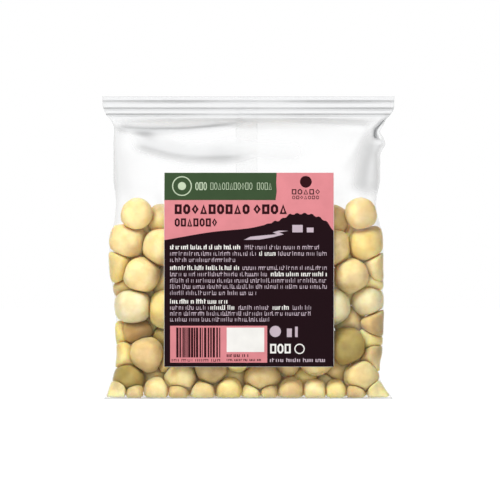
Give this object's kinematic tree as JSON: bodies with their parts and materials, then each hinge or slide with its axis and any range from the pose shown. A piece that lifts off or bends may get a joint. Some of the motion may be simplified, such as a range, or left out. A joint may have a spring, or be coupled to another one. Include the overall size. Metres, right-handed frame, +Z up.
{
  "type": "bag of shelled macadamia kernels",
  "caption": "Clear film pillow bag, crimped along the top and folded under at the base, filled with whole shelled nut kernels and carrying a plain rectangular front label.",
  "frame": {"origin": "on the ground, under the middle of the bag's width and depth", "axes": "+Z up the bag's height, -Y out of the labelled front, +X to the right when looking at the front"},
  "size_m": [0.13, 0.0261, 0.1345],
  "materials": {
    "film": "clear, glossy, softly creased packaging film",
    "label": "satin printed label",
    "kernel": "waxy cream nut kernel, satin, with darker mottling"
  },
  "bodies": {
    "root": {"bag_film": "film", "front_label": "label", "kernel_01": "kernel", "kernel_02": "kernel", "kernel_03": "kernel", "kernel_04": "kernel", "kernel_05": "kernel", "kernel_06": "kernel", "kernel_07": "kernel", "kernel_08": "kernel", "kernel_09": "kernel", "kernel_10": "kernel", "kernel_11": "kernel", "kernel_12": "kernel", "kernel_13": "kernel", "kernel_14": "kernel", "kernel_15": "kernel", "kernel_16": "kernel", "kernel_17": "kernel", "kernel_18": "kernel", "kernel_19": "kernel", "kernel_20": "kernel", "kernel_21": "kernel", "kernel_22": "kernel", "kernel_23": "kernel", "kernel_24": "kernel", "kernel_25": "kernel", "kernel_26": "kernel", "kernel_27": "kernel", "kernel_28": "kernel", "kernel_29": "kernel", "kernel_30": "kernel", "kernel_31": "kernel", "kernel_32": "kernel", "kernel_33": "kernel", "kernel_34": "kernel", "kernel_35": "kernel", "kernel_36": "kernel", "kernel_37": "kernel", "kernel_38": "kernel", "kernel_39": "kernel", "kernel_40": "kernel", "kernel_41": "kernel", "kernel_42": "kernel", "kernel_43": "kernel", "kernel_44": "kernel", "kernel_45": "kernel", "kernel_46": "kernel", "kernel_47": "kernel", "kernel_48": "kernel", "kernel_49": "kernel", "kernel_50": "kernel", "kernel_51": "kernel", "kernel_52": "kernel", "kernel_53": "kernel", "kernel_54": "kernel", "kernel_55": "kernel", "kernel_56": "kernel", "kernel_57": "kernel", "kernel_58": "kernel"}
  },
  "joints": []
}
